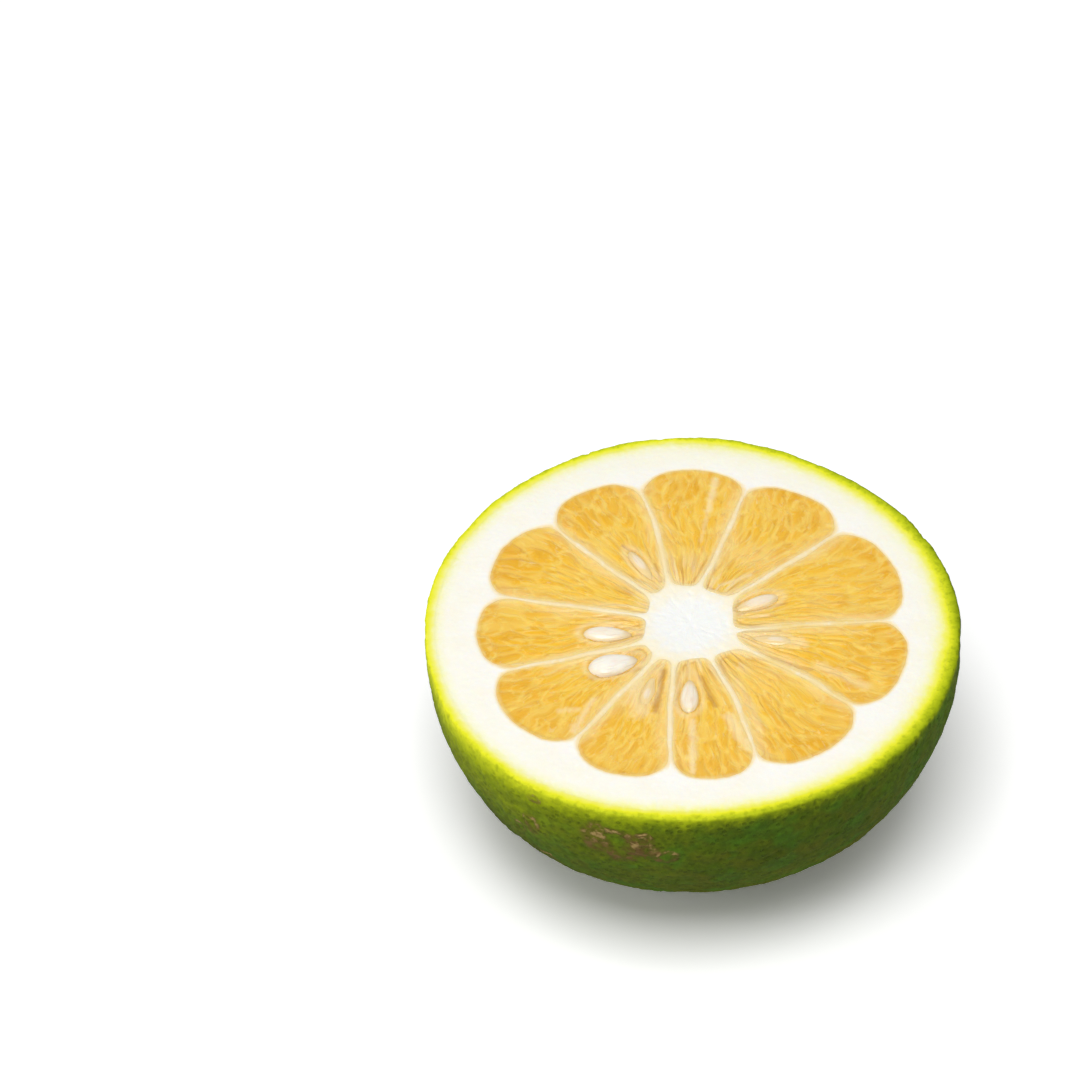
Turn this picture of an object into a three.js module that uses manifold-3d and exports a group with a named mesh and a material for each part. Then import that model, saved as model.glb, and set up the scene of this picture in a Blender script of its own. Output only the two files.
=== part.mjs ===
// Half of a sour orange, cut across its middle, lying on its rounded end with the cut face up.
//
// Millimetres, +Z up. The origin is the centre of the small flat spot that the half rests on.
// The pieces are those that the cut lays open: the green skin, the white pith with the core and
// the membranes that grow from it, eleven wedges of flesh, and seven seeds in their pockets.

import * as THREE from 'three';
import { mergeVertices } from 'three/addons/utils/BufferGeometryUtils.js';
import Module from 'manifold-3d';

// The whole half.
const CUT_RADIUS = 37.5; // rim of the cut face
const BELLY_RADIUS = 37.7; // widest ring of the fruit
const BELLY_DROP = 2.6; // how far that ring lies below the cut
const HEIGHT = 36.3; // resting spot to cut face
const REST_RADIUS = 5.5; // small flat spot at the bottom
const DOME_POWER = 2.1; // 2 is an ellipse, more is fuller shoulders
// The round outline bulges a little: bulges round the fruit, their height as a share of the
// radius, and the direction of one of them in degrees.
const LOBES = [[3, 0.009, -15], [5, 0.004, 20]];

// Layers, from the outside in.
const GAP = 0.3; // clearance between neighbouring pieces
const SKIN_THICKNESS = 1.5;
const FLESH_DEPTH = 5.4; // outside of the fruit to the deepest reach of a pocket
const MEMBRANE = 0.7; // wall between two pockets

// The eleven membranes on the cut face, counter-clockwise from the right. Each runs from the core
// outwards: x and y of the inner end, x and y of the outer end, and a sideways bow to its left.
const MEMBRANES = [
  [6.0, -2.5, 28.3, -0.4, 0.3],
  [5.6, 3.8, 20.5, 16.4, 0],
  [1.2, 6.0, 7.9, 25.6, -0.3],
  [-2.9, 6.4, -7.6, 27.2, -0.6],
  [-5.2, 4.2, -19.8, 18.9, 0.4],
  [-6.0, 0.4, -28.3, 4.6, 0],
  [-6.4, -4.6, -25.8, -10.3, 0],
  [-4.6, -7.6, -15.0, -22.2, 0],
  [-2.0, -8.3, -2.7, -28.3, -0.3],
  [2.8, -7.4, 9.1, -26.8, 0.6],
  [6.8, -5.4, 21.8, -16.4, 0.6],
];
// How far from the axis each wedge of flesh reaches.
const REACHES = [30.6, 30.0, 30.4, 30.1, 30.2, 29.9, 31.0, 30.7, 30.0, 30.6, 30.8];
// Rounded outer corner of a wedge: share of the way across it, and drop below its reach. The
// corner starts on the membrane, CORNER_START below the reach.
const CORNER = [[0.09, 1.6], [0.22, 0.5]];
const CORNER_START = 3.3;
const SIDE_STOPS = [0.02, 0.34, 0.68, 1]; // where a wedge's side is held on its membrane
const TIP_PULL = 0.4; // how far a wedge's tip leans towards the core

// The seeds: wedge number, centre x and y, direction of the blunt end in degrees, length, width,
// and how far the top stands above the cut face.
const SEEDS = [
  [7, -10.6, -8.7, 197, 7.2, 4.3, 0.65],
  [6, -11.5, -2.9, 178, 6.8, 3.1, 0.45],
  [9, -0.1, -14.7, 269, 6.2, 2.8, 0.4],
  [1, 9.4, 3.2, 24, 6.8, 2.7, 0.3],
  [11, 11.2, -4.0, 355, 7.0, 2.4, 0.1],
  [4, -7.0, 10.7, 121, 6.8, 2.0, 0.15],
  [8, -5.7, -13.8, 256, 7.0, 2.4, 0.1],
];
const SEED_FLATNESS = 0.55; // thickness over width
const SEED_WAIST = 0.93; // width halfway along a seed, as a share of its full width
const SEED_TAPER = 0.28; // how much wider the blunt end is than the middle
const SEED_FULLEST = 1.12; // where the blunt end stops growing wider

// Fineness of the facets.
const ROUND_STEPS = 56;
const DOME_STEPS = 9;
const OUTLINE_STEPS = 28;
const SEED_SIDES = 10;
const SEED_STEPS = 8;
const MERGE_DISTANCE = 1e-4;
const THROUGH = 2; // how far a cutter runs past the cut face

const BELLY_Z = HEIGHT - BELLY_DROP;
const DOME_DEPTH = BELLY_Z / (1 - (REST_RADIUS / BELLY_RADIUS) ** DOME_POWER) ** (1 / DOME_POWER);

// Colour and roughness of each kind of piece.
const SKIN_LOOK = { color: 0x55681a, roughness: 0.5 };
const PITH_LOOK = { color: 0xfbf8e2, roughness: 0.8 };
const FLESH_LOOK = { color: 0xf2bf3c, roughness: 0.3 };
const SEED_LOOK = { color: 0xf5ead0, roughness: 0.4 };

const wasm = await Module();
wasm.setup();

// three.js geometry to a solid that can be cut and joined, and back.
function toSolid(geometry) {
  const bare = geometry.clone();
  bare.deleteAttribute('normal');
  bare.deleteAttribute('uv');
  const merged = mergeVertices(bare, MERGE_DISTANCE);
  return new wasm.Manifold(new wasm.Mesh({
    numProp: 3,
    vertProperties: new Float32Array(merged.attributes.position.array),
    triVerts: new Uint32Array(merged.index.array),
  }));
}

function toGeometry(solid) {
  const { vertProperties, triVerts } = solid.getMesh();
  const geometry = new THREE.BufferGeometry();
  geometry.setAttribute('position', new THREE.BufferAttribute(vertProperties, 3));
  geometry.setIndex(new THREE.BufferAttribute(triVerts, 1));
  geometry.computeVertexNormals();
  return geometry;
}

// Radius in a direction round the fruit, as a share of the mean radius.
function roundness(angle) {
  return LOBES.reduce((share, [count, height, direction]) => (
    share + height * Math.cos(count * (angle - THREE.MathUtils.degToRad(direction)))), 1);
}

// A solid of the fruit's own shape, lying `inset` under its outside and closed at height `top`.
function fruitBody(inset, top) {
  const radius = BELLY_RADIUS - inset;
  const depth = DOME_DEPTH - inset;
  const floor = Math.max(BELLY_Z - depth, 0);
  const start = Math.acos(((BELLY_Z - floor) / depth) ** (DOME_POWER / 2));
  const profile = [new THREE.Vector2(0, floor)];
  for (let step = 0; step <= DOME_STEPS; step++) {
    const angle = THREE.MathUtils.lerp(start, Math.PI / 2, step / DOME_STEPS);
    const across = radius * Math.sin(angle) ** (2 / DOME_POWER);
    const down = depth * Math.max(Math.cos(angle), 0) ** (2 / DOME_POWER);
    if (across > 0) profile.push(new THREE.Vector2(across, BELLY_Z - down));
  }
  profile.push(new THREE.Vector2(CUT_RADIUS - inset, HEIGHT));
  if (top > HEIGHT) profile.push(new THREE.Vector2(CUT_RADIUS - inset, top));
  profile.push(new THREE.Vector2(0, top));
  const geometry = new THREE.LatheGeometry(profile, ROUND_STEPS);
  geometry.rotateX(Math.PI / 2);
  const position = geometry.attributes.position;
  for (let i = 0; i < position.count; i++) {
    const x = position.getX(i);
    const y = position.getY(i);
    const factor = roundness(Math.atan2(y, x));
    position.setXY(i, x * factor, y * factor);
  }
  return toSolid(geometry);
}

// The point at fraction t along a membrane's side, `offset` to the left of its middle line.
function membranePoint([x0, y0, x1, y1, bow], t, offset) {
  const inner = new THREE.Vector2(x0, y0);
  const outer = new THREE.Vector2(x1, y1);
  const along = outer.clone().sub(inner).normalize();
  const left = new THREE.Vector2(-along.y, along.x);
  const sag = 4 * bow * t * (1 - t);
  return inner.lerp(outer, t).addScaledVector(left, offset + sag);
}

function polar(radius, angle) {
  return new THREE.Vector2(radius * Math.cos(angle), radius * Math.sin(angle));
}

// Four points along one side of a wedge, from near the core to where its outer corner starts.
function wedgeSide(membrane, offset, reach) {
  const inner = Math.hypot(membrane[0], membrane[1]);
  const outer = Math.hypot(membrane[2], membrane[3]);
  const end = (reach - CORNER_START - inner) / (outer - inner);
  return SIDE_STOPS.map((stop) => membranePoint(membrane, stop * end, offset));
}

// Outline of the pocket between one membrane and the next, counter-clockwise.
function pocketOutline(number) {
  const reach = REACHES[number] + GAP;
  const right = wedgeSide(MEMBRANES[number], MEMBRANE / 2, reach);
  const left = wedgeSide(MEMBRANES[(number + 1) % MEMBRANES.length], -MEMBRANE / 2, reach);
  const from = right.at(-1).angle();
  const span = (left.at(-1).angle() - from + 2 * Math.PI) % (2 * Math.PI);
  const rim = [
    ...CORNER.map(([share, drop]) => polar(reach - drop, from + share * span)),
    polar(reach, from + span / 2),
    ...CORNER.map(([share, drop]) => polar(reach - drop, from + (1 - share) * span)).reverse(),
  ];
  const tip = right[0].clone().add(left[0]).multiplyScalar(0.5);
  tip.setLength(tip.length() - TIP_PULL);
  const stops = [...right, ...rim, ...left.reverse(), tip].map((p) => new THREE.Vector3(p.x, p.y, 0));
  const curve = new THREE.CatmullRomCurve3(stops, true, 'centripetal');
  return curve.getSpacedPoints(OUTLINE_STEPS).slice(0, -1).map((p) => new THREE.Vector2(p.x, p.y));
}

// The same outline moved inwards by a distance.
function shrink(outline, distance) {
  return outline.map((point, i) => {
    const before = outline[(i + outline.length - 1) % outline.length];
    const after = outline[(i + 1) % outline.length];
    const along = after.clone().sub(before).normalize();
    return point.clone().add(new THREE.Vector2(-along.y, along.x).multiplyScalar(distance));
  });
}

// An upright prism on an outline, from the resting level to height `top`.
function prism(outline, top) {
  return toSolid(new THREE.ExtrudeGeometry(new THREE.Shape(outline), { depth: top, bevelEnabled: false }));
}

// A seed, swollen by `extra` all round: a drop with a blunt end, lying in the cut face.
function seedSolid([, x, y, direction, length, width, proud], extra) {
  const half = length / 2 + extra;
  const profile = [];
  for (let step = 0; step <= SEED_STEPS; step++) {
    const angle = (step / SEED_STEPS) * Math.PI;
    const fullness = Math.min(1 - SEED_TAPER * Math.cos(angle), SEED_FULLEST) * SEED_WAIST;
    const across = (width / 2 + extra) * Math.sin(angle) * fullness;
    profile.push(new THREE.Vector2(Math.max(across, 0), -half * Math.cos(angle)));
  }
  profile[0].x = 0;
  profile[SEED_STEPS].x = 0;
  const geometry = new THREE.LatheGeometry(profile, SEED_SIDES);
  geometry.rotateZ(-Math.PI / 2);
  geometry.scale(1, 1, SEED_FLATNESS);
  geometry.rotateZ(THREE.MathUtils.degToRad(direction));
  geometry.translate(x, y, HEIGHT + proud - (width / 2) * SEED_FLATNESS);
  return toSolid(geometry);
}

function piece(name, solid, look) {
  const material = new THREE.MeshStandardMaterial(look);
  const mesh = new THREE.Mesh(toGeometry(solid), material);
  mesh.name = name;
  return mesh;
}

function makeSkin() {
  const hollow = fruitBody(SKIN_THICKNESS, HEIGHT + THROUGH);
  return piece('skin', fruitBody(0, HEIGHT).subtract(hollow), SKIN_LOOK);
}

function makePith(outlines) {
  const reach = fruitBody(FLESH_DEPTH, HEIGHT + THROUGH);
  let solid = fruitBody(SKIN_THICKNESS + GAP, HEIGHT);
  for (const outline of outlines) {
    solid = solid.subtract(prism(outline, HEIGHT + THROUGH).intersect(reach));
  }
  return piece('pith', solid, PITH_LOOK);
}

function makeSegments(outlines) {
  const reach = fruitBody(FLESH_DEPTH + GAP, HEIGHT + THROUGH);
  return outlines.map((outline, index) => {
    const number = index + 1;
    let solid = prism(shrink(outline, GAP), HEIGHT).intersect(reach);
    for (const seed of SEEDS.filter(([wedge]) => wedge === number)) {
      solid = solid.subtract(seedSolid(seed, GAP));
    }
    return piece(`segment_${String(number).padStart(2, '0')}`, solid, FLESH_LOOK);
  });
}

function makeSeeds() {
  return SEEDS.map((seed, index) => (
    piece(`seed_${String(index + 1).padStart(2, '0')}`, seedSolid(seed, 0), SEED_LOOK)));
}

const outlines = MEMBRANES.map((_, number) => pocketOutline(number));
const orange = new THREE.Group();
orange.name = 'sour_orange_half';
orange.add(makeSkin(), makePith(outlines), ...makeSegments(outlines), ...makeSeeds());

export default orange;
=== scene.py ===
"""Half of a sour orange, cut side up: green skin, white pith, eleven wedges of flesh and seven seeds.

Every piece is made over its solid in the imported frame, in the same place and to the same size.
Shapes are worked out in millimetres and turned to metres when a piece is finished.
"""

import math

import bmesh
import bpy
from mathutils import Matrix, Quaternion, Vector, kdtree, noise


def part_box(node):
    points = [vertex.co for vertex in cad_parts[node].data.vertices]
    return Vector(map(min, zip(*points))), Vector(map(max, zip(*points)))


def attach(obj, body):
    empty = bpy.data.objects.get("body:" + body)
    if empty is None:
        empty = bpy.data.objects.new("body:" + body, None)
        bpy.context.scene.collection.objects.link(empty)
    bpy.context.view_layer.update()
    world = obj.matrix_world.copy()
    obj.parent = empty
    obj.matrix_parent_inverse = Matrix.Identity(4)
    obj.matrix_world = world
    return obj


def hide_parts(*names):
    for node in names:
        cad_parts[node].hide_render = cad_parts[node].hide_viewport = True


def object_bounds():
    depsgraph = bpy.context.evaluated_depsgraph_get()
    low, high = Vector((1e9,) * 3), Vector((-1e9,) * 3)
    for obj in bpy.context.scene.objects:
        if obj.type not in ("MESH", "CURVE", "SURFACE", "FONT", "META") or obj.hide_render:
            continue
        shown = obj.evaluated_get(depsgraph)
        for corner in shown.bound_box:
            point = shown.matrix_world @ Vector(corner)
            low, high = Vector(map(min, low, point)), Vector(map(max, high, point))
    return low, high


bl_info = {
    "name": "Sour orange half",
    "version": (1, 0, 0),
    "blender": (4, 5, 0),
    "location": "View3D > Sidebar > Sour orange",
    "description": "Dresses the cut half of a sour orange on its packed frame",
    "category": "Object",
}

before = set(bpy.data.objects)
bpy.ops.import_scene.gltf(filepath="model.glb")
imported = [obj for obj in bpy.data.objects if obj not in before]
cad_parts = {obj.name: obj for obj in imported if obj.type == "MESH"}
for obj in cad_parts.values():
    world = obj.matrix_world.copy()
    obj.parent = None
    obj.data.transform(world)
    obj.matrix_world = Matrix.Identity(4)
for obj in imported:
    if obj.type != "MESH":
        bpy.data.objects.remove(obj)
CAD_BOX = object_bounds()

SEED = 3
noise.seed_set(SEED)  # without it, noise_vector differs from one run to the next

# ------------------------------------------------------------------ sizes, in millimetres
MM = 0.001
HEIGHT = round(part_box("skin")[1].z / MM, 3)  # resting spot to cut face
CUT_RADIUS = 37.5
BELLY_RADIUS = 37.7  # at the widest ring
BELLY_DROP = 2.6  # of that ring under the cut
REST_RADIUS = 5.5
REST_BLEND = 0.16  # how softly the bowl runs into the flat spot that it rests on
DOME_POWER = 2.1
# Even swellings of the outline: how many, how tall as a share of the radius, turn in degrees.
LOBES = [(3, 0.009, -15), (5, 0.004, 20)]
BELLY_Z = HEIGHT - BELLY_DROP
DOME_DEPTH = BELLY_Z / (1 - (REST_RADIUS / BELLY_RADIUS) ** DOME_POWER) ** (1 / DOME_POWER)

SKIN_THICKNESS = 1.5
FLESH_DEPTH = 5.4  # from the outside to the end and the floor of a pocket
GAP = 0.3  # between the pith and the flesh under the cut
SEAM_DROP = 0.05  # how far under the cut the skin and the pith meet
NO_POCKET = 9.0  # stands for the distance to a pocket where none is near
# Half the width that shows of a membrane: at its root, at its waist and at its outer end.
WALL_ROOT, WALL_WAIST, WALL_FOOT = 0.62, 0.36, 0.50
WAIST_AT = 0.4  # share of the membrane's length

# x and y of the inner end, x and y of the outer end, and a bow to the left, for each membrane
MEMBRANES = [
    (6.0, -2.5, 28.3, -0.4, 0.3),
    (5.6, 3.8, 20.5, 16.4, 0.0),
    (1.2, 6.0, 7.9, 25.6, -0.3),
    (-2.9, 6.4, -7.6, 27.2, -0.6),
    (-5.2, 4.2, -19.8, 18.9, 0.4),
    (-6.0, 0.4, -28.3, 4.6, 0.0),
    (-6.4, -4.6, -25.8, -10.3, 0.0),
    (-4.6, -7.6, -15.0, -22.2, 0.0),
    (-2.0, -8.3, -2.7, -28.3, -0.3),
    (2.8, -7.4, 9.1, -26.8, 0.6),
    (6.8, -5.4, 21.8, -16.4, 0.6),
]
WEDGES = len(MEMBRANES)
REACHES = [30.6, 30.0, 30.4, 30.1, 30.2, 29.9, 31.0, 30.7, 30.0, 30.6, 30.8]  # of each wedge
CORNER = [(0.09, 1.6), (0.22, 0.5)]  # share of the wedge's angle, and how far in it lies there
CORNER_START = 3.3
SIDE_STOPS = (0.02, 0.34, 0.68, 1.0)  # shares of a wedge's side
TIP_PULL = 0.4
CORE_CENTRE = Vector((0.0, -1.0))
WALL_END = 27.3  # how far out a membrane runs before it flares into the pith

# wedge, x, y, direction of the blunt end in degrees, length, width, height above the cut
SEEDS = [
    (7, -10.6, -8.7, 197, 7.2, 4.3, 0.65),
    (6, -11.5, -2.9, 178, 6.8, 3.1, 0.45),
    (9, -0.1, -14.7, 269, 6.2, 2.8, 0.4),
    (1, 9.4, 3.2, 24, 6.8, 2.7, 0.3),
    (11, 11.2, -4.0, 355, 7.0, 2.4, 0.1),
    (4, -7.0, 10.7, 121, 6.8, 2.0, 0.15),
    (8, -5.7, -13.8, 256, 7.0, 2.4, 0.1),
]
SEED_FLATNESS = 0.55  # thickness over width
SEED_SINK = 0.02  # of the flesh's face round a seed, under the cut

# Marks in the flesh, each along a line: wedge, start x and y, end x and y, half width, strength. Some are
# brown streaks, others painted shade beside seeds, folds and a small hole.
STAINS_AND_SHADES = [
    (4, -9.6, 14.6, -8.0, 13.4, 0.28, 0.9),
    (4, -8.0, 13.4, -6.3, 10.4, 0.25, 0.8),
    (4, -5.0, 11.0, -4.1, 7.4, 0.25, 0.7),
    (1, 7.0, 0.9, 13.2, 3.0, 0.35, 0.7),
    (6, -6.6, -2.2, -11.5, -1.4, 0.25, 0.6),
    (6, -6.8, -3.6, -11.0, -4.6, 0.25, 0.6),
    (7, -6.6, -7.2, -14.4, -5.8, 0.30, 0.5),
    (7, -7.0, -9.6, -13.5, -11.3, 0.45, 0.7),
    (8, -3.6, -10.0, -4.7, -17.5, 0.45, 0.9),
    (9, 1.6, -11.5, 3.4, -16.5, 0.45, 0.7),
    (9, -1.6, -10.5, -1.9, -16.5, 0.35, 0.5),
    (10, 4.0, -9.5, 6.0, -15.5, 0.5, 0.4),
    (11, 8.5, -6.4, 16.5, -9.8, 0.35, 0.6),
    (2, 6.0, 6.2, 9.5, 9.4, 0.3, 0.4),
    (6, -6.7, -3.2, -7.2, -3.0, 0.3, 1.0),
    (1, 6.8, 3.4, 7.4, 1.2, 0.2, 0.7),
    (11, 6.8, -2.6, 12.5, -2.4, 0.2, 0.8),
]
PALES = [
    (3, 3.8, 28.6, 2.6, 22.0, 0.5, 0.9),
    (3, 2.6, 22.0, 1.6, 15.5, 0.3, 0.5),
    (8, -7.2, -11.5, -6.6, -17.5, 1.4, 0.85),
    (9, 0.3, -19.5, 0.3, -28.5, 0.55, 0.9),
    (9, 5.2, -18.6, 7.6, -24.2, 0.8, 0.8),
    (9, -0.2, -8.5, -0.1, -12.0, 0.35, 0.7),
    (7, -13.2, -15.6, -15.8, -21.2, 0.5, 0.8),
    (7, -15.2, -17.2, -17.8, -17.6, 0.4, 0.6),
    (11, 17.6, -9.0, 23.8, -12.8, 0.9, 0.6),
    (11, 7.4, -2.9, 15.2, -4.8, 1.1, 0.8),
    (1, 7.0, 2.4, 12.4, 4.8, 0.8, 0.6),
    (2, 4.2, 6.6, 8.6, 8.6, 0.4, 0.8),
    (4, -8.8, 12.6, -6.2, 8.6, 0.5, 0.8),
    (5, -14.4, 16.5, -8.0, 9.4, 0.7, 0.4),
    (10, 6.5, -12.0, 9.5, -21.0, 0.7, 0.5),
]

# Corky scars on the front: angle round the fruit, height, reach along and up, strength.
SCARS = [
    (254.6, 30.4, 3.3, 3.0, 1.0),
    (260.8, 29.9, 1.7, 1.4, 0.85),
    (264.3, 28.5, 1.6, 1.1, 0.95),
    (259.8, 32.2, 1.5, 0.9, 0.95),
    (235.4, 28.2, 1.0, 1.7, 0.8),
    (231.4, 25.6, 0.8, 1.2, 0.7),
    (236.1, 19.7, 1.3, 0.9, 0.8),
    (236.8, 34.4, 0.8, 0.6, 0.7),
]
SCAR_LAYERS = ("scar_first", "scar_second")

# Directions from the middle of the fruit, in degrees: painted light on the lit side, painted shade on the
# shady side and on the pith's cream-shade side.
LIT_SIDE = 200
SHADY_SIDE = 0
CREAM_SHADE_SIDE = 50
DIM_SIDE = -19

# How finely the pieces are divided.
SKIN_COLUMNS = 560
SKIN_ROWS = 126
SKIN_INSIDE_ROWS = 12
DOME_STEPS = 400
# The skin over its widest ring, as shares of the way to the cut.
SKIN_SIDE = (0.2, 0.4, 0.6, 0.8, 0.94)
# The skin's cut: how far in from the outside and how far under the cut each ring lies.
SKIN_CUT = [(0.02, 0.08), (0.08, 0.02), (0.2, 0.0), (0.45, 0.0), (0.7, 0.01), (0.95, 0.02), (1.2, 0.03),
            (1.4, 0.04), (SKIN_THICKNESS, SEAM_DROP), (SKIN_THICKNESS + 0.08, 0.2)]
FLESH_COLUMNS = 72
FLESH_ROWS = 118
FLOOR_ROWS = 6
CURVE_STEPS = 24
CORE_STEPS = 10
WALL_STEPS = 58
MEMBRANE_STOPS = 30
FLARE_STEPS = 13
ARC_STEPS = 46
PITH_ROWS = 15
DOME_ROWS = 16
SEED_ROWS = 40
SEED_SIDES = 48
MERGE = 0.0015
SHARP_CORNER = math.radians(48)

WHITE = (1.0, 1.0, 1.0, 1.0)


def shade(code):
    """Linear colour, with alpha, for a six-digit web colour."""
    parts = [int(code[i:i + 2], 16) / 255 for i in (0, 2, 4)]
    return tuple(c / 12.92 if c < 0.04045 else ((c + 0.055) / 1.055) ** 2.4 for c in parts) + (1.0,)


# ------------------------------------------------------------------ lines on the cut face
def smooth(low, high, value):
    """0 below low, 1 above high and an even S between them."""
    share = min(max((value - low) / (high - low), 0.0), 1.0)
    return share * share * (3 - 2 * share)


def hump(value, width):
    """1 at nought, falling away evenly on both sides over a width."""
    return math.exp(-(value / width) ** 2)


def ripples(spot, *waves):
    """Sum of noises, each given as its rate per millimetre and its height."""
    return sum(noise.noise(spot * rate) * tall for rate, tall in waves)


def polar(radius, angle):
    return Vector((radius * math.cos(angle), radius * math.sin(angle)))


def heading(spot):
    """Direction of a spot from the middle of the fruit, in radians."""
    return math.atan2(spot.y, spot.x)


def toward(spot, side):
    """1 where a spot lies in a direction in degrees, 0 from a right angle to it onwards."""
    return max(math.cos(heading(spot) - math.radians(side)), 0)


def roundness(angle):
    """Radius of the fruit in a direction, as a share of its mean radius."""
    return 1 + sum(tall * math.cos(count * (angle - math.radians(turn))) for count, tall, turn in LOBES)


def on_shell(point, angle):
    """A point of the round shell's profile, turned to a direction on the uneven outline."""
    return (*polar(point.x * roundness(angle), angle), point.y)


def evenly(points, count):
    """count + 1 points at even distances along an open chain."""
    reach = [0.0]
    for before, after in zip(points, points[1:]):
        reach.append(reach[-1] + (after - before).length)
    chain, at = [], 0
    for step in range(count + 1):
        want = reach[-1] * step / count
        while at < len(points) - 2 and reach[at + 1] < want:
            at += 1
        share = (want - reach[at]) / max(reach[at + 1] - reach[at], 1e-9)
        chain.append(points[at].lerp(points[at + 1], min(max(share, 0.0), 1.0)))
    return chain


def closed_curve(stops, steps):
    """A smooth loop through the stops, as one chain of points for the span after each stop."""
    spans, count = [], len(stops)
    for first in range(count):
        p0, p1, p2, p3 = (stops[(first + k - 1) % count] for k in range(4))
        d0, d1, d2 = (max((b - a).length, 1e-4) ** 0.5 for a, b in ((p0, p1), (p1, p2), (p2, p3)))
        t1 = ((p1 - p0) / d0 - (p2 - p0) / (d0 + d1) + (p2 - p1) / d1) * d1
        t2 = ((p2 - p1) / d1 - (p3 - p1) / (d1 + d2) + (p3 - p2) / d2) * d1
        span = []
        for step in range(steps + 1):
            s = step / steps
            span.append(p1 + t1 * s + (3 * (p2 - p1) - 2 * t1 - t2) * s ** 2
                        + (2 * (p1 - p2) + t1 + t2) * s ** 3)
        spans.append(span)
    return spans


def joined(spans):
    """Spans that follow each other, as one chain."""
    return [point for span in spans for point in span[:-1]] + [spans[-1][-1]]


def wander(point):
    """A line on the cut face strays a little from its even course, but not out at the skin."""
    fade = 1 - smooth(31.5, 34.5, point.length)
    slow = noise.noise_vector(Vector((point.x, point.y, 3.0)) * 0.22)
    quick = noise.noise_vector(Vector((point.x, point.y, 60.0)) * 0.9)
    return point + (slow.xy * 0.22 + quick.xy * 0.07) * fade


def membrane_point(membrane, share, offset):
    """A spot at a share of a membrane's length, offset to its left."""
    x0, y0, x1, y1, bow = membrane
    inner, outer = Vector((x0, y0)), Vector((x1, y1))
    along = (outer - inner).normalized()
    return inner.lerp(outer, share) + Vector((-along.y, along.x)) * (offset + 4 * bow * share * (1 - share))


def wall_half(share):
    """Half the width that shows of a membrane, at a share of its length."""
    waist = WALL_WAIST + (WALL_ROOT - WALL_WAIST) * max(1 - share / WAIST_AT, 0) ** 2
    return waist + (WALL_FOOT - WALL_WAIST) * max(share - WAIST_AT, 0) ** 2 / (1 - WAIST_AT) ** 2


def membrane_share(membrane, radius):
    """The share of a membrane's length at a distance from the middle of the fruit."""
    inner, outer = math.hypot(*membrane[:2]), math.hypot(*membrane[2:4])
    return (radius - inner) / (outer - inner)


def wedge_spans(number):
    """Outline of a wedge of flesh, counter-clockwise from near the core on its right side."""
    reach = REACHES[number]
    sides = []
    for membrane, side in ((MEMBRANES[number], 1), (MEMBRANES[(number + 1) % WEDGES], -1)):
        end = membrane_share(membrane, reach - CORNER_START)
        sides.append([membrane_point(membrane, stop * end, side * wall_half(stop * end))
                      for stop in SIDE_STOPS])
    right, left = sides
    start = heading(right[-1])
    span = (heading(left[-1]) - start) % (2 * math.pi)
    rim = [polar(reach - drop, start + share * span) for share, drop in CORNER]
    rim.append(polar(reach, start + span / 2))
    rim += [polar(reach - drop, start + (1 - share) * span) for share, drop in reversed(CORNER)]
    tip = (right[0] + left[0]) / 2
    tip = tip.normalized() * (tip.length - TIP_PULL)
    return closed_curve(right + rim + left[::-1] + [tip], CURVE_STEPS)


# Spans of that outline: 0 to 2 up the right side, 3 to 8 round the rim with its corners,
# 9 to 11 down the left side, 12 and 13 round the tip.
def pocket_ring(spans):
    """The outline from the tip round and back to it, stepped to match sector_ring."""
    parts = [
        evenly(spans[13], CORE_STEPS),
        evenly(joined(spans[0:3]), WALL_STEPS),
        evenly(joined(spans[3:9]), 2 * FLARE_STEPS + ARC_STEPS),
        evenly(joined(spans[9:12]), WALL_STEPS),
        evenly(spans[12], CORE_STEPS),
    ]
    return [wander(point) for point in joined(parts)]


def membrane_line(number):
    """Middle of a membrane from the centre of the core out to the skin."""
    membrane = MEMBRANES[number % WEDGES]
    end = membrane_share(membrane, WALL_END)
    start = SIDE_STOPS[0] * end
    wall = [membrane_point(membrane, start + (end - start) * stop / MEMBRANE_STOPS, 0)
            for stop in range(MEMBRANE_STOPS + 1)]
    angle = membrane_angle(number)
    parts = [
        evenly([CORE_CENTRE, membrane_point(membrane, 0, 0), wall[0]], CORE_STEPS),
        evenly(wall, WALL_STEPS),
        evenly([wall[-1], polar(pith_radius(angle), angle)], FLARE_STEPS),
    ]
    return joined(parts)


def membrane_angle(number):
    """Direction in which a membrane ends in the pith."""
    membrane = MEMBRANES[number % WEDGES]
    end = membrane_point(membrane, membrane_share(membrane, WALL_END), 0)
    return heading(end)


def pith_radius(angle):
    return (CUT_RADIUS - SKIN_THICKNESS) * roundness(angle)


def arc_angles(number):
    """Directions of the points along the skin from one membrane to the next."""
    start = membrane_angle(number)
    span = (membrane_angle(number + 1) - start) % (2 * math.pi)
    return [start + span * k / ARC_STEPS for k in range(ARC_STEPS + 1)]


def sector_ring(number):
    """The border of the pith round one pocket: out along a membrane, along the skin and back."""
    arc = [polar(pith_radius(angle), angle) for angle in arc_angles(number)]
    ring = membrane_line(number)[:-1] + arc + membrane_line(number + 1)[-2::-1]
    return [wander(point) for point in ring]


# ------------------------------------------------------------------ the fruit's round shape
def dome_height(inset, point):
    """Height of the rounded shell that lies inset under the outside, over a point on the face."""
    across = point.length / roundness(heading(point)) / (BELLY_RADIUS - inset)
    down = (DOME_DEPTH - inset) * max(1 - across ** DOME_POWER, 0) ** (1 / DOME_POWER)
    return BELLY_Z - down


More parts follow.
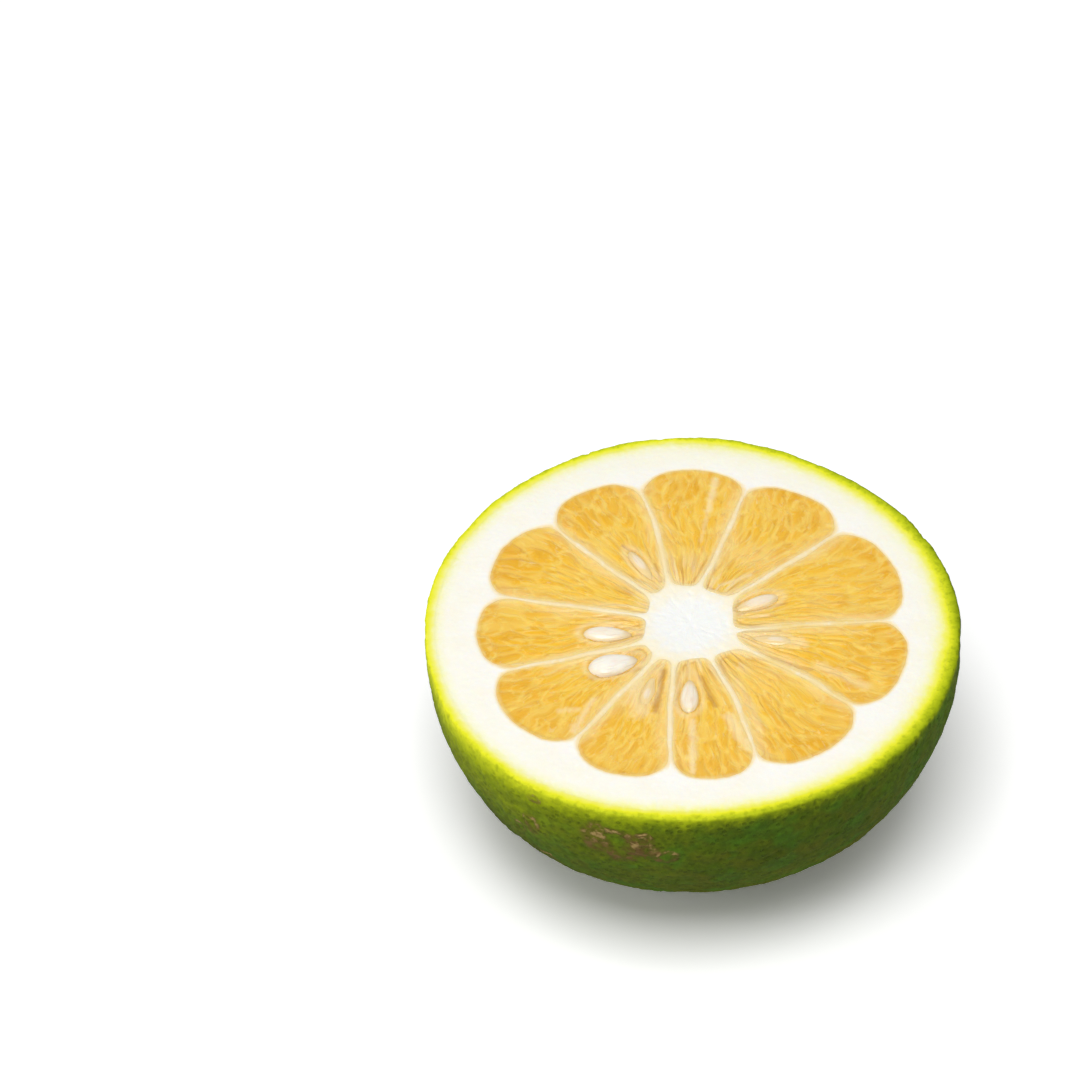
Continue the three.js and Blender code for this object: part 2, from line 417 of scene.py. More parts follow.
def dome_profile(inset, rows):
    """Across and up of the round shell from its lowest point to the widest ring."""
    profile = []
    for row in range(rows + 1):
        angle = math.pi / 2 * row / rows
        across = (BELLY_RADIUS - inset) * math.sin(angle) ** (2 / DOME_POWER)
        height = BELLY_Z - (DOME_DEPTH - inset) * max(math.cos(angle), 0) ** (2 / DOME_POWER)
        height = (height + math.hypot(height, REST_BLEND)) / 2 if inset == 0 else height
        profile.append(Vector((across, height)))
    return profile


# ------------------------------------------------------------------ mesh helpers
def mapped_grid(bm, columns, rows, place):
    """A grid bent into shape: place gives each crossing its spot for its column and row."""
    grid = bmesh.ops.create_grid(bm, x_segments=columns, y_segments=rows, size=1.0)
    for vert in grid["verts"]:
        place(vert, round((vert.co.x + 1) / 2 * columns), round((vert.co.y + 1) / 2 * rows))


def float_layers(bm, *names):
    """New values of a piece's points, under their names."""
    return {name: bm.verts.layers.float.new(name) for name in names}


def new_object(bm, name, material):
    mesh = bpy.data.meshes.new(name)
    bm.to_mesh(mesh)
    bm.free()
    mesh.materials.append(material)
    made = bpy.data.objects.new(name, mesh)
    bpy.context.scene.collection.objects.link(made)
    return made


def finish_piece(bm, name, material, nodes):
    """Closes the seams, turns the shell outwards and sets the piece on its body, in metres."""
    bmesh.ops.remove_doubles(bm, verts=bm.verts, dist=MERGE)
    bmesh.ops.dissolve_degenerate(bm, edges=bm.edges, dist=MERGE / 10)
    bmesh.ops.recalc_face_normals(bm, faces=bm.faces)
    bmesh.ops.scale(bm, vec=(MM, MM, MM), verts=bm.verts)
    for face in bm.faces:
        face.smooth = True
    for edge in bm.edges:
        edge.smooth = edge.calc_face_angle(0) < SHARP_CORNER
    piece = new_object(bm, name, material)
    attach(piece, "root")
    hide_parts(*nodes)


# ------------------------------------------------------------------ material helpers
class Wiring:
    """Adds nodes to a tree and joins them as they are made."""

    def __init__(self, tree):
        self.tree = tree

    def add(self, kind, values=None, **settings):
        """A node with its settings, its inputs joined to sockets or set to plain values."""
        node = self.tree.nodes.new(kind)
        for name, value in settings.items():
            setattr(node, name, value)
        for key, value in (values or {}).items():
            if isinstance(value, bpy.types.NodeSocket):
                self.tree.links.new(value, node.inputs[key])
            else:
                node.inputs[key].default_value = value
        return node

    def maths(self, operation, first, second=0.0):
        return self.add("ShaderNodeMath", {0: first, 1: second}, operation=operation).outputs[0]

    def plus(self, first, second):
        return self.maths("ADD", first, second)

    def times(self, first, second):
        return self.maths("MULTIPLY", first, second)

    def larger(self, first, second):
        return self.maths("MAXIMUM", first, second)

    def sway(self, mask, size):
        """A mask turned into a swing of that size about nought."""
        return self.times(self.maths("SUBTRACT", mask, 0.5), size)

    def spread(self, value, low, high, start=0.0, end=1.0):
        """Start at low, end at high and an even S between them."""
        values = {0: value, 1: low, 2: high, 3: start, 4: end}
        return self.add("ShaderNodeMapRange", values, interpolation_type="SMOOTHSTEP").outputs[0]

    def between(self, mask, start, end):
        """Start where a mask is 0 and end where it is 1."""
        return self.spread(mask, 0.0, 1.0, start, end)

    def lay(self, under, over, mask, share=1.0):
        """One colour laid over another where a mask shows, up to a share."""
        values = {0: self.times(mask, share), 6: under, 7: over}
        return self.add("ShaderNodeMix", values, data_type="RGBA").outputs[2]

    def cloud(self, place, per_metre, detail, distortion=0.0):
        values = {"Vector": place, "Scale": per_metre, "Detail": detail, "Distortion": distortion}
        return self.add("ShaderNodeTexNoise", values).outputs["Fac"]

    def own(self, name, output="Fac"):
        """A value that the piece's points carry under that name."""
        return self.add("ShaderNodeAttribute", attribute_name=name).outputs[output]

    def place(self):
        return self.add("ShaderNodeTexCoord").outputs["Object"]

    def looked_at(self):
        """1 for rays that show a surface, straight or mirrored, and 0 for those that light others."""
        path = self.add("ShaderNodeLightPath").outputs
        return self.larger(path["Is Camera Ray"],
                           self.larger(path["Is Glossy Ray"], path["Is Transmission Ray"]))


def effect(name, inputs, output="Mask", kind="NodeSocketFloat"):
    """Makes a function that wires nodes into one that puts them to use as a group.

    The function gets a Wiring and a socket for each input, of which the first is a vector, and
    returns the socket that the group gives. The group is made when it is first put to use.
    """
    def grouped(build):
        def use(wire, *values):
            tree = bpy.data.node_groups.get(name)
            if tree is None:
                tree = bpy.data.node_groups.new(name, "ShaderNodeTree")
                for label in inputs:
                    takes = "NodeSocketVector" if label == inputs[0] else "NodeSocketFloat"
                    tree.interface.new_socket(label, in_out="INPUT", socket_type=takes)
                tree.interface.new_socket(output, in_out="OUTPUT", socket_type=kind)
                given = tree.nodes.new("NodeGroupInput").outputs[:len(inputs)]
                result = tree.nodes.new("NodeGroupOutput")
                tree.links.new(build(Wiring(tree), *given), result.inputs[0])
            return wire.add("ShaderNodeGroup", dict(enumerate(values)), node_tree=tree).outputs[0]
        return use
    return grouped


@effect("Mottle", ("Place", "Per metre", "Detail", "Low", "High"))
def mottle(wire, place, per_metre, detail, low, high):
    """Soft blotches of a chosen size: 0 between them, 1 in them."""
    return wire.spread(wire.cloud(place, per_metre, detail), low, high)


@effect("Fine grain", ("Place", "Per metre", "Beads"), "Height")
def fine_grain(wire, place, per_metre, beads):
    """Fine raised grain: rounded beads of a chosen size with a softer roughness between them."""
    cells = wire.add("ShaderNodeTexVoronoi", {"Vector": place, "Scale": per_metre}, feature="SMOOTH_F1")
    dips = wire.times(cells.outputs["Distance"], beads)
    return wire.maths("SUBTRACT", wire.cloud(place, per_metre, 4.0), dips)


@effect("Strands", ("Grain", "Across", "Along", "Low", "High"))
def strands(wire, grain, across, along, low, high):
    """Fine strands that run along the second axis of the given place."""
    rate = wire.add("ShaderNodeCombineXYZ", {"X": across, "Y": along, "Z": 1.0}).outputs[0]
    stretched = wire.add("ShaderNodeVectorMath", {0: grain, 1: rate}, operation="MULTIPLY").outputs[0]
    return wire.spread(wire.cloud(stretched, 1.0, 3.0, 0.7), low, high)


RAMP_START, RAMP_SPAN = -3.0, 8.0  # the bands that the rim's colour ramp covers


@effect("Rim colours", ("Place", "Band"), "Colour", "NodeSocketColor")
def rim_colours(wire, place, band):
    """Colours of the cut edge by depth in from the rim: lime, lemon, cream, then white pith."""
    skin, pith = bpy.context.scene.sour_orange.skin, bpy.context.scene.sour_orange.pith
    for per_metre, size in ((160.0, 0.8), (900.0, 1.0)):
        band = wire.plus(band, wire.sway(wire.cloud(place, per_metre, 2.0), size))
    share = wire.maths("DIVIDE", wire.plus(band, -RAMP_START), RAMP_SPAN)
    ramp = wire.add("ShaderNodeValToRGB", {0: share})
    stops = [(-1.8, skin.strip), (-0.4, skin.lime), (0.5, skin.fresh), (1.2, skin.lemon),
             (1.8, skin.butter), (2.4, skin.edge), (3.1, pith.cream), (4.1, pith.white)]
    elements = ramp.color_ramp.elements
    while len(elements) < len(stops):
        elements.new(0.5)
    for element, (depth, tint) in zip(elements, stops):
        element.position = (depth - RAMP_START) / RAMP_SPAN
        element.color = tint
    glands = mottle(wire, place, 1300.0, 2.0, 0.48, 0.66)
    return wire.lay(ramp.outputs[0], skin.strip, glands, wire.spread(band, 1.5, 0.6, 0.0, 0.28))


def new_material(name, **plain):
    """A material with its Principled shader, plain values set on the shader itself."""
    material = bpy.data.materials.new(name)
    material.use_nodes = True
    shader = material.node_tree.nodes["Principled BSDF"]
    for key, value in plain.items():
        shader.inputs[key.replace("_", " ")].default_value = value
    return material, Wiring(material.node_tree), shader


def plug(wire, shader, colour, height, depth, roughness=None):
    """Feeds the shader its colour, its relief through a Bump node and, if not plain, its roughness."""
    links = wire.tree.links
    links.new(colour, shader.inputs["Base Color"])
    bump = wire.add("ShaderNodeBump", {"Strength": 1.0, "Distance": depth, "Height": height})
    links.new(bump.outputs[0], shader.inputs["Normal"])
    if roughness is not None:
        links.new(roughness, shader.inputs["Roughness"])


# ------------------------------------------------------------------ settings
def length(name, description, default):
    return bpy.props.FloatProperty(name=name, description=description, default=default,
                                   subtype="DISTANCE", unit="LENGTH", precision=5)


def colour(name, description, code):
    return bpy.props.FloatVectorProperty(name=name, description=description, size=4, min=0, max=1,
                                         subtype="COLOR", default=shade(code))


class SkinSettings(bpy.types.PropertyGroup):
    """Sizes and colours of the green skin."""

    pebble: length("Pebble", "Distance between the small swellings of the skin", 0.00190)
    pebble_height: length("Pebble height", "How far a swelling stands over the creases", 0.00010)
    pit: length("Pit", "Distance between the deeper pits", 0.0021)
    pit_depth: length("Pit depth", "How deep those pits are", 0.00020)
    green: colour("Green", "Main green of the skin", "557212")
    # Real darker patches, and painted shade in the pits.
    deep: colour("Deep green", "Darker patches and the insides of pits", "3a4710")
    olive: colour("Olive", "Yellower patches low on the skin", "686618")
    leaf: colour("Leaf", "Fresher green in patches", "45761f")
    strip: colour("Strip", "Lighter green a little below the rim", "6f8212")
    # Painted light: the lighter, yellower green of the skin on its lit side.
    lit_green: colour("Ripe", "Blush on the side that ripened in the sun", "acb81a")
    lime: colour("Lime", "Just below the rim", "9dad14")
    fresh: colour("Fresh", "The rim itself", "c6d022")
    lemon: colour("Lemon", "Outer part of the cut skin", "eeee30")
    butter: colour("Butter", "Inner part of the cut skin", "f5f26c")
    edge: colour("Edge", "Inner edge of the cut skin, against the pith", "f9f7b0")
    scar: colour("Scar", "Corky scars", "614826")
    cork: colour("Cork", "Raised lines of the scars", "b0975f")


class PithSettings(bpy.types.PropertyGroup):
    """Sizes and colours of the pith, the membranes and the core."""

    core_dip: length("Core dip", "How far the core sinks under the cut", 0.00015)
    edge_round: length("Edge round", "How far the edge of a pocket falls away", 0.00004)
    white: colour("White", "The pith itself", "fefcf3")
    cream: colour("Cream", "Pith close under the skin", "fcfbdf")
    # Painted shade: a faint yellow tint near the skin, partly the pith's own cream, stronger on the side
    # away from the light.
    butter: colour("Butter", "Faint tint of the pith on the side away from the light", "f8f6b0")
    membrane: colour("Membrane", "Walls between the wedges", "fddd98")
    root: colour("Root", "Inner ends of those walls", "ffeab6")
    amber: colour("Amber", "Walls where the flesh shows through them", "f6cf62")
    core: colour("Core", "The core", "f9faf5")


class FleshSettings(bpy.types.PropertyGroup):
    """Sizes and colours of the flesh."""

    sac_width: length("Sac width", "Width of a juice sac halfway out", 0.00150)
    sac_length: length("Sac length", "Length of a juice sac on the cut", 0.0055)
    sac_height: length("Sac height", "How far a sac bulges over its walls", 0.00016)
    gold: colour("Gold", "Main colour of the juice sacs", "f4be26")
    amber: colour("Amber", "Deeper sacs", "e4a516")
    straw: colour("Straw", "Pale strands and sac walls", "fbdb70")
    cream: colour("Cream", "Pale folds of loose membrane", "fce4b0")
    # Real brown streaks, and painted shade beside seeds, folds and the wedges' edges.
    stain: colour("Stain", "Brown shade beside seeds and folds", "b5752a")


class SeedSettings(bpy.types.PropertyGroup):
    """Sizes and colours of the seeds."""

    ridge: length("Ridge", "Height of the fine ridges along a seed", 0.00004)
    ivory: colour("Ivory", "Seed coat", "fcf6ea")
    veiled: colour("Veiled", "Seed coat under a film of flesh", "f7e4c4")
    film: colour("Film", "Wet film where the flesh laps the seed", "f3cf7e")
    tan: colour("Tan", "Shade in the creases and at the tip", "dcb98c")


class StageSettings(bpy.types.PropertyGroup):
    """Floor, light and camera."""

    key_power: bpy.props.FloatProperty(
        name="Key power", description="Power of the large soft light overhead, in watts",
        default=6.6, min=0, subtype="POWER", unit="POWER")
    fill_power: bpy.props.FloatProperty(
        name="Fill power", description="Power of the weak light on the left, in watts",
        default=2.0, min=0, subtype="POWER", unit="POWER")
    sky: bpy.props.FloatProperty(
        name="Sky", description="Even light from all round", default=0.37, min=0)
    elevation: bpy.props.FloatProperty(
        name="Elevation", description="Height of the view over the cut face",
        default=math.radians(45.6), subtype="ANGLE", unit="ROTATION")
    distance: length("Distance", "Camera to the middle of the cut face", 0.42)


class OrangeSettings(bpy.types.PropertyGroup):
    """All settings of the half."""

    skin: bpy.props.PointerProperty(type=SkinSettings, name="Skin", description="Green skin")
    pith: bpy.props.PointerProperty(type=PithSettings, name="Pith", description="White pith")
    flesh: bpy.props.PointerProperty(type=FleshSettings, name="Flesh", description="Juicy flesh")
    seeds: bpy.props.PointerProperty(type=SeedSettings, name="Seeds", description="Seeds")
    stage: bpy.props.PointerProperty(type=StageSettings, name="Stage", description="Stage")


# ------------------------------------------------------------------ skin
def scar_place(spot, scars):
    """Where a spot lies in the nearest scar, 1 at its edge both ways, and how strong that is."""
    angle = math.degrees(heading(spot)) % 360
    nearest, result = 1.9, (9.0, 9.0, 0.0)
    for turn, height, long, tall, strength in scars:
        along = (angle - turn) * math.radians(1) * BELLY_RADIUS / long
        up = (spot.z - height) / tall
        away = math.hypot(along, up)
        if away < nearest:
            nearest, result = away, (along, up, strength * smooth(1.8, 1.3, away))
    return result


SKIN_SINK = 0.10  # keeps the swellings inside the solid
SCAR_HEIGHT = 0.10
NAVEL_DEPTH = 0.45
NAVEL_START, NAVEL_END = 2.6, 1.5  # distances from the middle of the underside


def skin_relief(spot, look):
    """Height over the smooth skin, in millimetres, and how deep in a pit or crease it is, 0 to 1, which
    sets the painted shade there.
    """
    bent = spot + noise.noise_vector(spot * 0.8) * 0.5
    near, _ = noise.voronoi(bent * (MM / look.pebble))
    crease = 1 - smooth(0.0, 0.42, near[1] - near[0])
    deep, _ = noise.voronoi(bent * (MM / look.pit) + Vector((7.3, 1.9, 4.4)))
    pit = smooth(0.30, 0.06, deep[0])
    waves = ripples(spot, (0.11, 0.24), (0.34, 0.10), (1.7, 0.05))
    height = waves - crease * look.pebble_height / MM - pit * look.pit_depth / MM
    return height - SKIN_SINK, max(crease * 0.35, pit)


def rim_band(spot, inset):
    """Millimetres in from the rim, less than 0 below it, as the rim's colours follow it; pushed towards
    lemon on the lit side as painted light and towards green on the shady side as painted shade.
    """
    lit_share = toward(spot, LIT_SIDE) ** 3
    below = max(HEIGHT - spot.z - 0.1, 0)
    drop = 0.35 * (1 - lit_share) * min(below / 0.3, 1) + below * (0.72 - 0.34 * lit_share)
    return inset + 0.38 + 0.65 * lit_share - 1.05 * toward(spot, SHADY_SIDE) - drop


class MakeSkin(bpy.types.Operator):
    """Build the green skin: a closed bowl with a pebbled outside, a cut rim and a plain inside"""

    bl_idname = "sour_orange.skin"
    bl_label = "Skin"

    def execute(self, context):
        look = context.scene.sour_orange.skin
        bm = bmesh.new()
        layers = float_layers(bm, "pit_shade", "inset", "band", "painted_light", "navel")
        inset = layers["inset"]
        outer = evenly(dome_profile(0, DOME_STEPS), SKIN_ROWS)
        bulge = BELLY_RADIUS - CUT_RADIUS
        outer += [Vector((CUT_RADIUS + bulge * (1 - up ** 2), BELLY_Z + BELLY_DROP * up))
                  for up in SKIN_SIDE]
        cut = [Vector((CUT_RADIUS - back, HEIGHT - down)) for back, down in SKIN_CUT]
        profile = outer + cut + dome_profile(SKIN_THICKNESS, SKIN_INSIDE_ROWS)[::-1]

        def place(vert, column, row):
            point = profile[row]
            vert.co = on_shell(point, 2 * math.pi * column / SKIN_COLUMNS)
            if row >= len(outer) + len(cut):
                vert[inset] = SKIN_THICKNESS + 1
            elif row >= len(outer):
                vert[inset] = CUT_RADIUS - point.x

        mapped_grid(bm, SKIN_COLUMNS, len(profile) - 1, place)
        bmesh.ops.remove_doubles(bm, verts=bm.verts, dist=MERGE)
        bmesh.ops.recalc_face_normals(bm, faces=bm.faces)
        bm.normal_update()
        self.pebbles(bm, look, layers)
        finish_piece(bm, "peel", skin_material(look), ["skin"])
        return {"FINISHED"}

    def pebbles(self, bm, look, layers):
        """Gives the outside and the cut their relief and their marks, inside the solid's box."""
        scars = [bm.verts.layers.float_vector.new(name) for name in SCAR_LAYERS]
        low, high = (corner / MM for corner in CAD_BOX)
        inset, navel = layers["inset"], layers["navel"]
        moves = []
        for vert in bm.verts:
            if vert[inset] > SKIN_THICKNESS:
                continue
            height, vert[layers["pit_shade"]] = skin_relief(vert.co, look)
            vert[layers["band"]] = rim_band(vert.co, vert[inset])
            # Painted light: how strongly the skin is painted lighter on its lit side, high up.
            vert[layers["painted_light"]] = toward(vert.co, LIT_SIDE) ** 2.5 * smooth(20.0, 35.0, vert.co.z)
            for first, layer in enumerate(scars):
                vert[layer] = scar_place(vert.co, SCARS[first::len(scars)])
                along, up, strength = vert[layer]
                height += SCAR_HEIGHT * strength * smooth(0.45, 0.05, abs(math.hypot(along, up) - 0.8))
            if vert.co.z < REST_RADIUS:
                out = vert.co.xy.length + ripples(vert.co, (1.0, 0.5))
                vert[navel] = smooth(NAVEL_START, NAVEL_END, out)
                height -= NAVEL_DEPTH * vert[navel]
                height *= 0.3 + 0.7 * max(smooth(2.5, 7.0, vert.co.xy.length), vert[navel])
            outwards = vert.normal.copy()
            if vert.co.z > BELLY_Z:
                outwards = Vector((vert.co.x, vert.co.y, 0)).normalized()
                height *= 1 - smooth(0.1, 1.3, vert[inset])
            moves.append((vert, outwards * height))
        for vert, move in moves:
            vert.co += move
            vert.co = [min(max(value, least), most) for value, least, most in zip(vert.co, low, high)]


def skin_material(look):
    """Leathery green skin, dimpled and scarred, that turns lime and lemon at the cut, with painted shade in
    its pits and creases and painted light on its lit side.
    """
    material, wire, shader = new_material(
        "Green skin", Specular_IOR_Level=0.0, Coat_Weight=0.06, Coat_Roughness=0.3, Subsurface_Weight=0.05,
        Subsurface_Radius=(0.6, 1.0, 0.2), Subsurface_Scale=0.0008)
    place = wire.place()
    broad = mottle(wire, place, 75.0, 3.0, 0.3, 0.75)
    leafy = mottle(wire, place, 210.0, 4.0, 0.46, 0.64)
    middling = mottle(wire, place, 320.0, 4.0, 0.3, 0.8)
    breaks = mottle(wire, place, 850.0, 3.0, 0.44, 0.60)
    rough = mottle(wire, place, 1000.0, 5.0, 0.3, 0.72)
    low_down = wire.spread(wire.add("ShaderNodeSeparateXYZ", {0: place}).outputs["Z"], 0.030, 0.006)
    painted_light, band = wire.own("painted_light"), wire.own("band")
    base = wire.lay(look.green, look.deep, broad, 0.7)
    base = wire.lay(base, look.olive, low_down, 0.5)
    base = wire.lay(base, look.olive, middling, 0.65)
    base = wire.lay(base, look.leaf, leafy, 0.55)
    # Painted light: the lit side of the skin is painted lighter and yellower.
    base = wire.lay(base, look.lit_green, painted_light, wire.between(middling, 0.9, 0.5))
    ragged = wire.plus(band, wire.sway(middling, 1.6))
    base = wire.lay(base, rim_colours(wire, place, band), wire.spread(ragged, -3.0, -0.2))

    outside = wire.times(wire.spread(band, 0.6, -1.3), wire.spread(wire.own("inset"), 0.35, 0.05))
    # Painted shade: the skin darkens in its dimples, pits, creases and dips, less on the lit side.
    specks = wire.add("ShaderNodeTexVoronoi", {"Vector": place, "Scale": 900.0}, feature="F1")
    dimple = wire.spread(wire.plus(specks.outputs["Distance"], wire.sway(rough, 0.22)), 0.36, 0.10)
    dark = wire.larger(wire.times(dimple, 0.6), wire.times(wire.own("pit_shade"), 0.8))
    dark = wire.larger(dark, wire.times(rough, 0.6))
    dark = wire.times(dark, wire.between(painted_light, 1.0, 0.6))
    base = wire.lay(base, look.deep, dark, outside)

    ridges = 0.0
    for name in SCAR_LAYERS:
        along, up, strength = wire.add("ShaderNodeSeparateXYZ", {0: wire.own(name, "Vector")}).outputs
        flat = wire.add("ShaderNodeCombineXYZ", {0: along, 1: up}).outputs[0]
        away = wire.add("ShaderNodeVectorMath", {0: flat}, operation="LENGTH").outputs["Value"]
        wavy = wire.plus(away, wire.sway(middling, 1.1))
        ring = wire.maths("ABSOLUTE", wire.maths("SUBTRACT", wavy, 0.75))
        stain = wire.times(wire.spread(ring, 0.75, 0.15), strength)
        stain = wire.times(stain, wire.between(breaks, 0.5, 1.0))
        base = wire.lay(base, look.scar, stain, 0.9)
        line = wire.times(wire.spread(ring, 0.38, 0.08), wire.times(breaks, strength))
        line = wire.times(line, wire.spread(up, -0.5, 0.6, 0.15, 0.9))
        base = wire.lay(base, look.cork, line)
        ridges = wire.larger(ridges, line)
    base = wire.lay(base, look.scar, wire.own("navel"), wire.between(breaks, 0.9, 0.6))

    relief = wire.plus(wire.times(rough, 0.55), wire.times(dimple, 0.8))
    relief = wire.maths("SUBTRACT", wire.times(ridges, 0.6), wire.times(relief, outside))
    plug(wire, shader, base, relief, 0.00025, wire.between(middling, 0.30, 0.45))
    return material


# ------------------------------------------------------------------ pith
class MakePith(bpy.types.Operator):
    """Build the pith with its core, membranes and eleven open pockets"""

    bl_idname = "sour_orange.pith"
    bl_label = "Pith and membranes"

    def execute(self, context):
        look = context.scene.sour_orange.pith
        bm = bmesh.new()
        layers = float_layers(bm, "wall", "near", "dim", "core", "cream_shade", "band")
        rim_angles = []
        for number in range(WEDGES):
            self.pocket(bm, number, look, layers)
            rim_angles += arc_angles(number)[:-1]
        rim_angles.append(rim_angles[0] + 2 * math.pi)
        profile = dome_profile(SKIN_THICKNESS, DOME_ROWS - 1)[::-1]

        def place(vert, column, row):
            angle = rim_angles[column]
            if row == 0:
                self.surface(vert, polar(pith_radius(angle), angle), NO_POCKET, look, layers)
            else:
                vert.co = on_shell(profile[row - 1], angle)

        mapped_grid(bm, len(rim_angles) - 1, DOME_ROWS, place)
        finish_piece(bm, "pith_and_core", pith_material(look), ["pith"])
        return {"FINISHED"}

    def surface(self, vert, flat, away, look, layers):
        """Sets a vertex on the cut face, `away` from the nearest pocket."""
        spot = Vector((flat.x, flat.y, 0.0))
        out = (flat - CORE_CENTRE).length
        core = smooth(7.4, 3.2, out + ripples(spot, (0.9, 1.8)))
        height = ripples(spot, (0.22, 0.06), (1.7, 0.03))
        height += core * (ripples(spot, (1.3, 0.10), (3.1, 0.05)) - look.core_dip / MM)
        height -= look.edge_round / MM * hump(away, 0.2)
        rim = smooth(33.0, 36.0, flat.length)
        vert.co = (flat.x, flat.y, HEIGHT - SEAM_DROP * rim + height * (1 - rim))
        wall = smooth(1.5 - 1.0 * smooth(26.0, 30.0, flat.length), 0.0, away) * smooth(5.0, 8.5, out)
        ring = 0.45 * smooth(3.6, 6.0, out + ripples(spot, (0.6, 1.5))) * smooth(11.0, 8.0, out)
        dim = smooth(0.6, 0.92, toward(flat, DIM_SIDE)) * smooth(9.0, 15.0, out) * smooth(29.0, 23.0, out)
        # Painted shade: a faint tint near the skin, stronger on the side away from the light.
        cream_shade = 0.25 * (0.4 + 0.6 * toward(flat, CREAM_SHADE_SIDE))
        inset = CUT_RADIUS - flat.length / roundness(heading(flat))
        values = {
            "wall": max(wall, ring),
            "near": smooth(15.0, 8.0, out),
            "dim": dim * smooth(-0.5, 0.3, noise.noise(spot * 0.25)),
            "core": core,
            "cream_shade": cream_shade * smooth(29.5, 34.0, flat.length + ripples(spot, (0.3, 1.5))),
            "band": rim_band(Vector((flat.x, flat.y, HEIGHT)), inset),
        }
        for name, value in values.items():
            vert[layers[name]] = value

    def pocket(self, bm, number, look, layers):
        """The face of the pith round one pocket, and the pocket's walls and floor."""
        inner = pocket_ring(wedge_spans(number))
        outer = sector_ring(number)
        steps = len(inner) - 1
        middle = sum(inner[:-1], Vector((0.0, 0.0))) / steps

        def face(vert, column, row):
            share = (row / PITH_ROWS) ** 1.4
            flat = inner[column].lerp(outer[column], share)
            self.surface(vert, flat, (flat - inner[column]).length, look, layers)

        def hollow(vert, column, row):
            if row == 0:
                self.surface(vert, inner[column], 0.0, look, layers)
            else:
                flat = inner[column].lerp(middle, (row - 1) / FLOOR_ROWS)
                vert.co = (flat.x, flat.y, dome_height(FLESH_DEPTH, flat))

        mapped_grid(bm, steps, PITH_ROWS, face)
        mapped_grid(bm, steps, FLOOR_ROWS + 1, hollow)


def pith_material(look):
    """Spongy white pith, cream-coloured under the skin and along the membranes, with a faint painted shade
    near the skin on the side away from the light.
    """
    material, wire, shader = new_material(
        "White pith", Specular_IOR_Level=0.2, Subsurface_Weight=0.25, Subsurface_Radius=(1.0, 0.8, 0.5),
        Subsurface_Scale=0.0005)
    place = wire.place()
    soft = mottle(wire, place, 260.0, 4.0, 0.3, 0.75)
    flecks = mottle(wire, place, 1400.0, 3.0, 0.5, 0.75)
    band = wire.own("band")
    inside = wire.spread(band, 1.4, 3.2)
    base = rim_colours(wire, place, band)
    # Painted shade near the skin on the side away from the light.
    base = wire.lay(base, look.butter, wire.own("cream_shade"), inside)
    base = wire.lay(base, look.membrane, wire.times(soft, 0.10), inside)
    film = wire.lay(look.membrane, look.root, wire.own("near"))
    film = wire.lay(film, look.amber, wire.own("dim"))
    base = wire.lay(base, film, wire.own("wall"), wire.between(soft, 0.95, 0.7))
    base = wire.lay(base, look.core, wire.own("core"))
    base = wire.lay(base, WHITE, wire.times(flecks, 0.25), inside)
    grain = fine_grain(wire, place, 1300.0, 0.4)
    plug(wire, shader, base, grain, 0.00008, wire.between(soft, 0.55, 0.75))
    return material


# ------------------------------------------------------------------ flesh
FAN_RADIUS = 20.0  # where the sacs are as wide as set
WEDGE_SHIFT = 11.0  # sets the noises of one wedge apart from those of the next
STAIN_DIP, PALE_RISE = 0.12, 0.08  # how far marks sink and folds stand out at full strength


def line_share(point, marks, number):
    """How strongly the marks of one wedge show at a point."""
    strongest = 0.0
    for wedge, x0, y0, x1, y1, half, strength in marks:
        if wedge != number + 1:
            continue
        start, end = Vector((x0, y0)), Vector((x1, y1))
        along = end - start
        share = min(max((point - start).dot(along) / along.length_squared, 0.0), 1.0)
        away = (point - start - along * share).length
        spot = Vector((point.x, point.y, half))
        ragged = half * (1 + 0.5 * noise.noise(spot * 0.9) + 0.4 * noise.noise(spot * 2.3))
        strongest = max(strongest, strength * smooth(1.7, 0.1, away / ragged))
    return strongest


def seed_distance(point, seed):
    """Distance from a seed's outline on the cut, in millimetres, less than 0 inside."""
    _, x, y, turn, long, wide, proud = seed
    thick = wide / 2 * SEED_FLATNESS
    sunk = min(max((thick - proud) / thick, 0.0), 0.95)
    shown = math.sqrt(1 - sunk ** 2)
    local = Matrix.Rotation(-math.radians(turn), 2) @ (point - Vector((x, y)))
    half_long, half_wide = long / 2 * shown, wide / 2 * shown
    half_wide *= 1 + 0.22 * min(max(local.x / half_long, -1), 1)
    size = math.hypot(local.x / half_long, local.y / half_wide)
    return (size - 1) * half_wide


